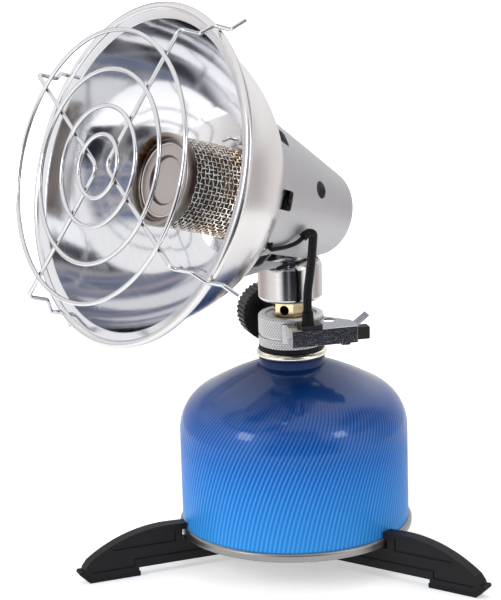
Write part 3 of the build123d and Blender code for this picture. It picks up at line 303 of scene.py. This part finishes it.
def turned(name, color, axis, rough, lines, bump=0.12, depth=0.06, metallic=1.0):
    """Metal turned or spun about an axis: fine rings in colour, gloss and relief. depth is in millimetres."""
    drawn_out = 0.35         # how little the rings change round the axis
    tint = 0.03              # how far their colour strays
    look = Look(name)
    look.set(Metallic=metallic)
    s, r, a = look.axial(axis)
    rings = look.combine(look.mul(s, lines), look.mul(r, lines), look.mul(a, drawn_out))
    fine = look.noise(0.55, 4.0, 0.65, rings)
    wide = look.noise(60.0, 3.0, 0.5)
    look.color(look.ramp(look.blend(fine, 0.6, wide),
                         (0.3, toned(color, 1 - tint * 2)), (0.7, toned(color, 1 + tint))))
    look.rough(look.remap(look.blend(fine, 0.7, wide), *rough, 0.25, 0.75))
    look.bump(fine, bump, depth * MM)
    return look


def moulded(name, color, rough, grain, bump, gloss):
    """Moulded plastic or rubber with a fine grain."""
    look = Look(name)
    look.set(Specular_IOR_Level=gloss)
    fine = look.noise(grain, 3.0, 0.6)
    wide = look.noise(45.0, 3.0, 0.55)
    look.color(look.ramp(wide, (0.3, toned(color, 0.8)), (0.72, toned(color, 1.25, 0.002))))
    look.rough(look.remap(wide, *rough, 0.3, 0.7))
    look.bump(fine, bump, 0.08 * MM)
    return look


# -------------------------------------------- materials that need more
def dish_aluminium():
    """Spun dish: polished inside, duller outside."""
    look = turned("dish_aluminium", (0.80, 0.803, 0.828), HEAD, (0.06, 0.12), 2600, bump=0.08, depth=0.04)
    outwards = look.vector("NORMALIZE", look.from_point(HEAD_O))
    facing = look.dot(look.new("ShaderNodeTexCoord").outputs["Normal"], outwards)
    outside = look.rise(facing, 0.05, 0.25)
    look.rough(look.add(look.now("Roughness"), look.mul(outside, 0.14)))
    look.tint(outside, (0.76, 0.745, 0.74))
    return look


def collar_aluminium():
    """Valve body: a diamond knurl round the side, with painted shade in its grooves and creases."""
    knurls, knurl_rise = 68, 1.9         # diamonds round the collar, and the height of one in mm
    look = turned("collar_aluminium", (0.95, 0.945, 0.95), UPRIGHT, (0.30, 0.42), 4000,
                  bump=0.08, metallic=0.6)
    s, r, a = look.axial(UPRIGHT)
    round_it = look.mul(a, knurls)
    climb = look.mul(s, 2 * math.pi / (knurl_rise * MM))
    leans = [look.math("ABSOLUTE", look.math("SINE", look.mul(look.math(op, round_it, climb), 0.5)))
             for op in ("ADD", "SUBTRACT")]
    side = look.rise(r, COLLAR_R * MM, (COLLAR_R + 0.25) * MM)
    points = look.mul(look.math("MINIMUM", *leans), side)
    look.bump(points, 0.8, 0.3 * MM)
    # painted shade: the knurl's grooves are darkened in the colour
    look.darken(look.mix(side, 1.0, look.ramp(points, (0.05, 0.44), (0.50, 1.0))))
    # painted shade in the creases
    look.painted_crease_shade(3.0, 0.3)
    return look


def hex_brass():
    """Jet holder: bright brass, with painted shade inside its port."""
    look = turned("hex_brass", (0.90, 0.75, 0.47), UPRIGHT, (0.14, 0.24), 3000, bump=0.06)
    middle = UP * (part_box("jet_holder")[0].z + PORT_RISE * MM)
    p = look.from_point(middle)
    along = look.dot(p, bearing(PORT_AZ))
    reach = look.vector("LENGTH", p)
    across = look.math("SUBTRACT", look.mul(reach, reach), look.mul(along, along))
    off_axis = look.math("SQRT", look.math("MAXIMUM", across, 0.0))
    # painted shade: the inside of the port is coloured near black
    port_painted_shade = look.mul(look.fall(off_axis, PORT_R * MM, (PORT_R + 0.25) * MM),
                       look.fall(along, (PORT_FACE - 0.15) * MM, PORT_FACE * MM))
    look.tint(look.mul(port_painted_shade, look.math("GREATER_THAN", along, 0.0)), (0.02, 0.016, 0.012))
    # painted shade in the creases
    look.painted_crease_shade(2.5, 0.3)
    return look


def bracket_steel():
    """Igniter bracket: bright steel, with a pitted front face painted dark as a reflection, and rubbed edges.
    """
    look = turned("bracket_steel", (0.58, 0.575, 0.59), UPRIGHT, (0.14, 0.26), 900, bump=0.08)
    front = look.rise(look.dot(look.point, PIEZO_N), BRACKET_FACE_N * MM, (BRACKET_FACE_N + 0.1) * MM)
    pits = look.noise(1500.0, 3.0, 0.7)
    streaks = look.combine(look.dot(look.point, PIEZO_U * 260), look.dot(look.point, UP * 1500), 0)
    grain = look.noise(1.0, 4.0, 0.65, streaks)
    # painted reflection: the front face is coloured dark, patterned by the pits and grain
    look.tint(front, look.ramp(
        look.blend(pits, 0.6, grain), (0.36, (0.022, 0.023, 0.030)), (0.56, (0.062, 0.065, 0.078)),
        (0.63, (0.30, 0.305, 0.33)), (0.71, (0.09, 0.09, 0.11))))
    look.bump(look.mul(pits, front), 0.5, 0.2 * MM)
    look.worn(0.45, (0.74, 0.74, 0.76))
    # painted shade in the creases
    look.painted_crease_shade(4.0, 0.12, 0.25, 0.7)
    return look


def burner_cap_steel():
    """Burner cap and base: steel browned by the flame, most on the rim's wall and round the skirt, with
    painted shade at the disc's step and the wall's foot, and a painted highlight on the bead.
    """
    # radii in millimetres where a ring of the cap starts, is full, fades and ends
    rim_wall = (17.0, 17.8, 20.3, 20.9)
    wall_foot = (17.0, 17.3, 17.8, 18.2)
    bead = (16.1, 16.4, 16.6, 16.9)
    disc_step = (10.2, 10.6, 11.2, 11.6)
    skirt_r = (20.5, 20.9)
    skirt_rear_s = (-16.0, -13.6)
    look = turned("burner_cap_steel", (0.52, 0.475, 0.455), HEAD, (0.26, 0.38), 2500, bump=0.08)
    s, r, a = look.axial(HEAD)
    spots = look.noise(420.0, 4.0, 0.7)
    patch = look.noise(130.0, 2.0, 0.5)
    wall = look.ring(r, *rim_wall)
    skirt = look.rise(r, *(edge * MM for edge in skirt_r))
    rear = look.fall(s, *(edge * MM for edge in skirt_rear_s))
    blotched = look.remap(look.blend(spots, 0.6, patch), 0.55, 1.0, 0.38, 0.52)
    tanned = look.mul(wall, look.remap(patch, 0.35, 0.75, 0.3, 0.7))
    scorched = look.mul(look.mul(wall, look.near_angle(a, 140, 0.32, 0.50)), blotched)
    straw = look.mul(skirt, look.remap(patch, 0.30, 0.75, 0.35, 0.65))
    blued = look.mul(look.mul(skirt, rear), look.near_angle(a, 8, 0.30, 0.75))
    greyed = look.mul(look.mul(skirt, look.near_angle(a, -55, 0.25, 0.6)), 0.7)
    painted_step_shade = look.math("MAXIMUM", look.ring(r, *disc_step), look.ring(r, *wall_foot))
    look.tint(tanned, (0.135, 0.105, 0.080))
    look.tint(scorched, (0.055, 0.026, 0.010))
    look.tint(straw, (0.30, 0.25, 0.19))
    look.tint(blued, (0.075, 0.045, 0.045))
    look.tint(greyed, (0.20, 0.20, 0.17))
    # painted shade at the disc's step and at the foot of the rim's wall
    look.tint(look.mul(painted_step_shade, 0.75), (0.09, 0.07, 0.055))
    look.tint(look.ring(r, *bead), (0.86, 0.80, 0.76))       # painted highlight on the bead
    # painted shade in the creases
    look.painted_crease_shade(2.0, 0.35)
    return look


def mesh_wire_steel():
    """Woven cloth: greyed near the cap, straw and brown where it glows, with painted shade on the inside."""
    look = turned("mesh_wire_steel", (0.90, 0.86, 0.81), HEAD, (0.10, 0.24), 3000, bump=0.05)
    s, r, _ = look.axial(HEAD)
    cloud = look.noise(95.0, 3.0, 0.6)
    towards_base = look.fall(s, -50.0 * MM, -22.0 * MM)
    glowing = look.mul(look.rise(look.add(cloud, look.mul(towards_base, 0.35)), 0.58, 0.86), 0.8)
    greyed = look.remap(look.math("SUBTRACT", cloud, look.mul(towards_base, 0.3)), 0.0, 0.8, 0.34, 0.56)
    look.tint(greyed, (0.30, 0.30, 0.275))
    look.tint(glowing, (0.60, 0.44, 0.29))
    # painted shade: the inner side of the cloth is darkened
    look.darken(look.remap(r, 0.35, 1.0, (MESH_R - 0.6) * MM, (MESH_R + 0.15) * MM))
    # painted shade in the creases
    look.painted_crease_shade(1.2, 0.10, 0.30, 0.75)
    return look


def cartridge_lacquer():
    """Cartridge: dark shoulder, bright foot, and fine pinstripes that lean over more the higher they run."""
    foot, top = 19.0, 99.0               # mm, where the colours run from and to
    pinstripes = 160
    lean, lean_more = 12.0, 1750.0       # stripes passed per metre of height, and per metre squared
    look = Look("cartridge_lacquer")
    s, _, a = look.axial(UPRIGHT)
    height = look.rise(s, foot * MM, top * MM)
    ground = look.ramp(
        height, (0.0, (0.028, 0.270, 0.78)), (0.22, (0.018, 0.205, 0.68)), (0.42, (0.010, 0.135, 0.53)),
        (0.58, (0.006, 0.085, 0.38)), (0.74, (0.004, 0.055, 0.26)), (1.0, (0.002, 0.026, 0.125)))
    stripe = look.ramp(
        height, (0.0, (0.09, 0.47, 1.0)), (0.4, (0.06, 0.33, 0.90)), (0.7, (0.03, 0.17, 0.60)),
        (1.0, (0.01, 0.06, 0.22)))
    passed = look.add(look.mul(s, lean), look.mul(look.mul(s, s), lean_more))
    turns = look.math("SUBTRACT", look.mul(a, pinstripes / (2 * math.pi)), passed)
    on_stripe = look.rise(look.math("COSINE", look.mul(turns, 2 * math.pi)), -0.4, 0.8)
    strength = look.ramp(height, (0.0, 0.62), (0.3, 0.80), (0.6, 0.85), (0.78, 0.6), (0.9, 0.0))
    look.color(look.mix(look.mul(on_stripe, strength), ground, stripe))
    look.set(Metallic=0.12, Specular_IOR_Level=0.10, Coat_Roughness=0.10)
    coat = look.ramp(height, (0.0, 0.03), (0.5, 0.06), (0.66, 0.6), (0.84, 1.0), (0.92, 0.6), (1.0, 0.15))
    look.link(coat, look.bsdf.inputs["Coat Weight"])
    look.rough(look.remap(look.noise(80.0), 0.34, 0.44, 0.3, 0.7))
    look.bump(look.noise(900.0, 2.0), 0.05, 0.04 * MM)
    return look


def grille_chrome():
    """Guard wires: bright plating with faint clouding, and painted shade where wires cross."""
    color = (0.76, 0.765, 0.785)
    look = Look("grille_chrome")
    look.set(Metallic=1.0)
    cloud = look.noise(90.0, 4.0, 0.6)
    look.color(look.ramp(cloud, (0.3, toned(color, 0.95)), (0.7, color)))
    look.rough(look.remap(cloud, 0.04, 0.09, 0.3, 0.7))
    look.bump(look.noise(2600.0, 2.0, 0.5), 0.02, 0.02 * MM)
    # painted shade where wires cross and meet
    look.painted_crease_shade(1.6, 0.25)
    return look


# -------------------------------------------- every material, and the CAD nodes that wear it
wire_look = mesh_wire_steel()
WORN_BY = [
    (dish_aluminium(), ["reflector_dish"]),
    (turned("housing_satin", (0.58, 0.575, 0.59), HEAD, (0.46, 0.56), 3200, bump=0.08, depth=0.04),
     ["rear_housing"]),
    (turned("cup_chrome", (0.68, 0.655, 0.65), UPRIGHT, (0.05, 0.10), 3000, bump=0.06, depth=0.03),
     ["neck_cup"]),
    (grille_chrome(), ["grille_ring_outer", "grille_ring_second", "grille_ring_third", "grille_ring_inner",
                       "grille_spoke_left", "grille_spoke_right"]),
    (turned("valve_cup_gold", (0.95, 0.90, 0.77), UPRIGHT, (0.16, 0.26), 2000, bump=0.06),
     ["cartridge_valve_cup"]),
    (turned("seam_steel", (0.36, 0.35, 0.34), UPRIGHT, (0.30, 0.42), 1500, bump=0.08), ["cartridge_base"]),
    (turned("boss_brass", (0.80, 0.64, 0.34), UPRIGHT, (0.2, 0.3), 3000), ["cartridge_boss"]),
    (collar_aluminium(), ["valve_body"]),
    (hex_brass(), ["push_pin", "jet_holder", "gas_jet", "valve_gland"]),
    (turned("plain_steel", (0.62, 0.62, 0.63), KNOB, (0.2, 0.32), 3000),
     ["stand_rivet", "valve_spindle", "mixing_tube", "saddle_rivet_rear", "saddle_rivet_front",
      "electrode_wire"]),
    (bracket_steel(), ["saddle_bracket", "piezo_bracket"]),
    (burner_cap_steel(), ["burner_base", "burner_cap"]),
    (wire_look, ["burner_mesh"]),
    # painted shade: the liner steel is kept near black inside the burner
    (turned("liner_steel_painted_shade", (0.12, 0.11, 0.10), HEAD, (0.4, 0.6), 3000, bump=0.1), ["burner_liner"]),
    (moulded("electrode_ceramic", (0.85, 0.83, 0.78), (0.2, 0.35), 2000, 0.05, 0.4), ["electrode_ceramic"]),
    (moulded("leg_plastic", (0.0045, 0.0045, 0.0055), (0.40, 0.54), 1500, 0.1, 0.26),
     ["leg_rear", "leg_front", "leg_right"]),
    (moulded("pad_rubber", (0.007, 0.007, 0.008), (0.6, 0.8), 2200, 0.18, 0.25),
     ["foot_pad_rear", "foot_pad_front", "foot_pad_right"]),
    (moulded("seal_rubber", (0.006, 0.006, 0.006), (0.5, 0.7), 2400, 0.15, 0.25), ["seal_ring"]),
    (moulded("knob_plastic", (0.007, 0.007, 0.009), (0.30, 0.45), 1600, 0.1, 0.38), ["valve_knob"]),
    (moulded("piezo_plastic", (0.006, 0.006, 0.007), (0.3, 0.45), 1500, 0.08, 0.35),
     ["piezo_unit", "piezo_button", "piezo_terminal"]),
    (moulded("lead_rubber", (0.003, 0.003, 0.004), (0.42, 0.6), 2600, 0.15, 0.16),
     ["terminal_boot", "lead_sleeve", "ignition_lead"]),
    (cartridge_lacquer(), ["cartridge_body"]),
]
for look, wearers in WORN_BY:
    for node in wearers:
        dress(nodes[node], look.mat)


# -------------------------------------------- burner: woven wire cloth
def wire_along(path, closed, sides=6):
    """Verts and faces of a round wire along points, its section turned to face away from the head's axis."""
    n = len(path)
    verts, faces = [], []
    for i in range(n):
        before = path[(i - 1) % n] if closed or i else path[0]
        after = path[(i + 1) % n] if closed or i < n - 1 else path[-1]
        t = (after - before).normalized()
        out = path[i] - HEAD_O
        out = (out - HEAD_D * out.dot(HEAD_D)).normalized()
        out = (out - t * out.dot(t)).normalized()
        beside = t.cross(out)
        for k in range(sides):
            turn = 2 * math.pi * k / sides
            verts.append(path[i] + (out * math.cos(turn) + beside * math.sin(turn)) * MESH_WIRE / 2 * MM)
    for i in range(n if closed else n - 1):
        here, there = i * sides, (i + 1) % n * sides
        for k in range(sides):
            beyond = (k + 1) % sides
            faces.append((here + k, here + beyond, there + beyond, there + k))
    return verts, faces


def woven_cloth(name):
    """Plain weave wrapped round the head's axis: ring wires and long wires pass over and under each other."""
    wobble = 0.24            # how far a ring wire strays along the axis, mm
    drift = 1.8              # how far a long wire strays round it, degrees
    steps = 4                # points from one crossing to the next
    around = round(2 * math.pi * MESH_R / MESH_PITCH)
    around += around % 2
    length = MESH_FRONT_S - MESH_REAR_S
    rows = int(length / MESH_PITCH)
    swing = MESH_WIRE / 2 * 1.02
    rnd = random.Random(5)
    wires = []
    for row in range(rows):
        s = MESH_REAR_S + (row + 0.5) * length / rows
        strays = [rnd.uniform(-wobble, wobble) for _ in range(around)]
        path = []
        for k in range(around * steps):
            part = k % steps / steps
            stray = strays[k // steps] * (1 - part) + strays[(k // steps + 1) % around] * part
            over = math.cos(math.pi * k / steps + math.pi * row)
            path.append(at(HEAD, s + stray, MESH_R + swing * over, 360.0 * k / (around * steps)))
        wires.append(wire_along(path, True))
    for column in range(around):
        stray = rnd.uniform(-drift, drift)
        path = []
        for k in range(rows * steps + 1):
            over = -math.cos(math.pi * (k / steps - 0.5) + math.pi * column)
            path.append(at(HEAD, MESH_REAR_S + k / steps * length / rows, MESH_R + swing * over,
                           360.0 * column / around + stray * math.sin(math.pi * k / (rows * steps))))
        wires.append(wire_along(path, False))
    verts, faces = [], []
    for wire_verts, wire_faces in wires:
        faces += [tuple(len(verts) + i for i in face) for face in wire_faces]
        verts += wire_verts
    return make(name, verts, faces)


weave = woven_cloth("burner_weave")
dress(weave, wire_look.mat)
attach(weave, "heater")
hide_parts("burner_mesh")


# -------------------------------------------- camera, fitted to the seam, the rim and the feet
PHOTO_WIDTH = 501            # pixels
FOCAL = 2304.754             # pixels
SENSOR = 36.0                # mm
CAM_AZ, CAM_PITCH, CAM_ROLL = math.radians(52.4507), math.radians(14.2773), math.radians(-1.64254)
CAM_AWAY, CAM_ASIDE, CAM_UP = 1046.566, -18.749, 392.237     # from the cartridge axis on the floor, mm


def photo_camera():
    away = Vector((math.sin(CAM_AZ), -math.cos(CAM_AZ), 0))
    level_right = Vector((math.cos(CAM_AZ), math.sin(CAM_AZ), 0))
    forward = -away * math.cos(CAM_PITCH) - UP * math.sin(CAM_PITCH)
    level_up = level_right.cross(forward)
    right = level_right * math.cos(CAM_ROLL) + level_up * math.sin(CAM_ROLL)
    upward = level_up * math.cos(CAM_ROLL) - level_right * math.sin(CAM_ROLL)
    data = bpy.data.cameras.new("camera")
    data.sensor_fit = "HORIZONTAL"
    data.sensor_width = SENSOR
    data.lens = FOCAL * SENSOR / PHOTO_WIDTH
    data.clip_start, data.clip_end = 0.05, 50.0
    o = bpy.data.objects.new("camera", data)
    scene.collection.objects.link(o)
    place = (away * CAM_AWAY + level_right * CAM_ASIDE + UP * CAM_UP) * MM
    o.matrix_world = Matrix.Translation(place) @ Matrix((right, upward, -forward)).transposed().to_4x4()
    return o


scene.camera = photo_camera()

# -------------------------------------------- studio: floor, world, lamps and what metal mirrors
OBJECT_AXIS = Vector((0, -0.03, 0))      # the studio stands round this point, metres from here on


def floor():
    """A pale floor that keeps the shadow and glows to the camera and to metal, more with distance."""
    near, far, half = 0.16, 0.75, 8
    corners = [(-half, -half, 0), (half, -half, 0), (half, half, 0), (-half, half, 0)]
    o = make("floor", corners, [(0, 1, 2, 3)])
    look = Look("floor_white")
    look.set(Roughness=0.9, Specular_IOR_Level=0.1)
    look.color(look.ramp(look.noise(3.0), (0.3, 0.94), (0.7, 0.96)))
    distance = look.vector("LENGTH", look.point)
    rays = look.new("ShaderNodeLightPath").outputs
    mirrored = look.math("MAXIMUM", rays["Is Glossy Ray"], rays["Is Transmission Ray"])
    to_camera = look.mul(rays["Is Camera Ray"], look.remap(distance, 0.42, 1.0, near, far))
    to_metal = look.mul(mirrored, look.remap(distance, 0.28, 0.62, near, far))
    glow = look.new("ShaderNodeEmission")
    look.link(look.add(to_camera, to_metal), glow.inputs["Strength"])
    both = look.new("ShaderNodeAddShader")
    look.link(look.bsdf.outputs[0], both.inputs[0])
    look.link(glow.outputs[0], both.inputs[1])
    look.surface(both.outputs[0])
    dress(o, look.mat)


def white_world(seen=1.0, lit=0.44):
    """White to the camera and in reflections, weaker as light."""
    scene.world = bpy.data.worlds.new("studio")
    scene.world.use_nodes = True
    look = Nodes(scene.world.node_tree)
    sky = look.tree.nodes["Background"]
    sky.inputs["Color"].default_value = (1, 1, 1, 1)
    rays = look.new("ShaderNodeLightPath").outputs
    direct = look.math("MAXIMUM", rays["Is Camera Ray"], rays["Is Glossy Ray"])
    direct = look.math("MAXIMUM", direct, rays["Is Transmission Ray"])
    look.link(look.remap(direct, lit, seen, 0.0, 1.0), sky.inputs["Strength"])


def direction(az, el):
    return bearing(az) * math.cos(math.radians(el)) + UP * math.sin(math.radians(el))


def lamp(name, az, el, distance, size, power, glossy=True):
    """A square soft box in a direction from the object, in degrees, aimed at the object's middle."""
    data = bpy.data.lights.new(name, "AREA")
    data.shape = "RECTANGLE"
    data.size = data.size_y = size
    data.energy = power
    o = bpy.data.objects.new(name, data)
    scene.collection.objects.link(o)
    o.location = OBJECT_AXIS + UP * 0.13 + direction(az, el) * distance
    o.rotation_euler = (-direction(az, el)).to_track_quat("-Z", "Y").to_euler()
    o.visible_camera = False
    o.visible_glossy = glossy


def mirrored_only(o, look, color, mask):
    """Finishes a flag: a glowing colour where the mask is 1, clear elsewhere, seen by reflections alone."""
    glow = look.new("ShaderNodeEmission")
    look.link(color, glow.inputs["Color"])
    mix = look.new("ShaderNodeMixShader")
    look.link(mask, mix.inputs[0])
    look.link(look.new("ShaderNodeBsdfTransparent").outputs[0], mix.inputs[1])
    look.link(glow.outputs[0], mix.inputs[2])
    look.surface(mix.outputs[0])
    dress(o, look.mat)
    for ray in ("camera", "diffuse", "transmission", "shadow"):
        setattr(o, "visible_" + ray, False)


def flag(name, az, el, shade, soft):
    """A soft-edged grey flag on a sphere round the object; az and el are pairs of angles, all in degrees."""
    centre, radius = OBJECT_AXIS + UP * 0.15, 1.6
    across, high = 24, 12
    spans = [(az[0] + (az[1] - az[0]) * i / across, el[0] + (el[1] - el[0]) * j / high)
             for i in range(across + 1) for j in range(high + 1)]
    corners = [i * (high + 1) + j for i in range(across) for j in range(high)]
    o = make(name, [centre + direction(a, e) * radius for a, e in spans],
             [(k, k + 1, k + high + 2, k + high + 1) for k in corners])
    look = Look(name)
    middle, half = sum(az) / 2, math.radians((az[1] - az[0]) / 2)
    p = look.from_point(centre)
    x, y, z = look.dot(p, bearing(middle)), look.dot(p, bearing(middle + 90)), look.dot(p, UP)
    aside = look.math("ABSOLUTE", look.math("ARCTAN2", y, x))
    above = look.mul(look.math("ARCSINE", look.math("DIVIDE", z, radius)), 180 / math.pi)
    mask = look.mul(look.fall(aside, half - math.radians(soft), half), look.fall(above, el[1] - soft, el[1]))
    mask = look.mul(mask, look.rise(above, el[0], el[0] + soft))
    mask = look.mul(mask, look.remap(look.noise(5.0), 0.93, 1.0, 0.0, 1.0))
    bands = look.noise(1.0, 3.0, 0.6, look.combine(look.mul(x, 1.1), look.mul(y, 1.1), look.mul(z, 6.5)))
    cool = tuple(c * k for c, k in zip(shade, (0.34, 0.47, 0.74)))
    warm = tuple(c * k for c, k in zip(shade, (1.95, 1.5, 1.3)))
    mirrored_only(o, look, look.ramp(bands, (0.38, cool), (0.50, shade), (0.62, warm)), mask)


def surround(name, radius, high, fade, room):
    """A band round the object, clear at its top: what reflections see of the room at each bearing."""
    around = 120
    verts = []
    for i in range(around):
        foot = OBJECT_AXIS + bearing(360.0 * i / around) * radius
        verts += [foot + UP * 0.002, foot + UP * high]
    n = len(verts)
    o = make(name, verts, [(i, (i + 2) % n, (i + 3) % n, i + 1) for i in range(0, n, 2)])
    look = Look(name)
    p = look.from_point(OBJECT_AXIS)
    x, y, z = look.dot(p, (1, 0, 0)), look.dot(p, (0, 1, 0)), look.dot(p, UP)
    turn = look.rise(look.math("ARCTAN2", y, x), -math.pi, math.pi)
    color = look.ramp(turn, *(((deg + 180) / 360, shown) for deg, shown in room))
    mirrored_only(o, look, color, look.fall(z, high - fade, high))


floor()
white_world()
lamp("key", -100, 26, 1.5, 1.15, 9.2, glossy=False)
lamp("window_left", -92, 27, 1.5, 0.42, 3.0)
lamp("window_right", 14, 28, 1.5, 0.32, 1.8)
lamp("fill", -10, 40, 1.7, 1.2, 2.0, glossy=False)
lamp("top", 120, 70, 1.5, 1.0, 6.0, glossy=False)
flag("flag_front", (-66, -4), (-4, 54), (0.26, 0.285, 0.35), 9)
flag("flag_right", (20, 92), (2, 64), (0.42, 0.42, 0.44), 14)
flag("flag_rear", (120, 200), (0, 46), (0.55, 0.55, 0.57), 16)
surround("room", 0.45, 0.26, 0.07, [
    (-180, (0.70, 0.67, 0.66)), (-160, (0.60, 0.53, 0.51)), (-140, (0.74, 0.69, 0.68)),
    (-118, (0.98, 0.95, 0.94)), (-96, (1.10, 1.08, 1.07)), (-80, (1.40, 1.38, 1.36)),
    (-68, (0.80, 0.80, 0.82)), (-63, (0.34, 0.34, 0.37)), (-58, (0.05, 0.05, 0.06)),
    (-46, (0.05, 0.05, 0.06)), (-42, (0.24, 0.24, 0.25)), (-38, (0.18, 0.18, 0.19)),
    (-34, (0.04, 0.045, 0.06)), (-26, (0.018, 0.020, 0.030)), (3, (0.018, 0.020, 0.030)),
    (9, (0.65, 0.64, 0.64)), (16, (1.30, 1.29, 1.28)), (38, (1.15, 1.13, 1.12)),
    (54, (0.62, 0.59, 0.59)), (70, (0.50, 0.47, 0.47)), (92, (0.84, 0.81, 0.80)),
    (140, (0.86, 0.84, 0.84)), (180, (0.70, 0.67, 0.66))])
scene.view_settings.view_transform = "Standard"
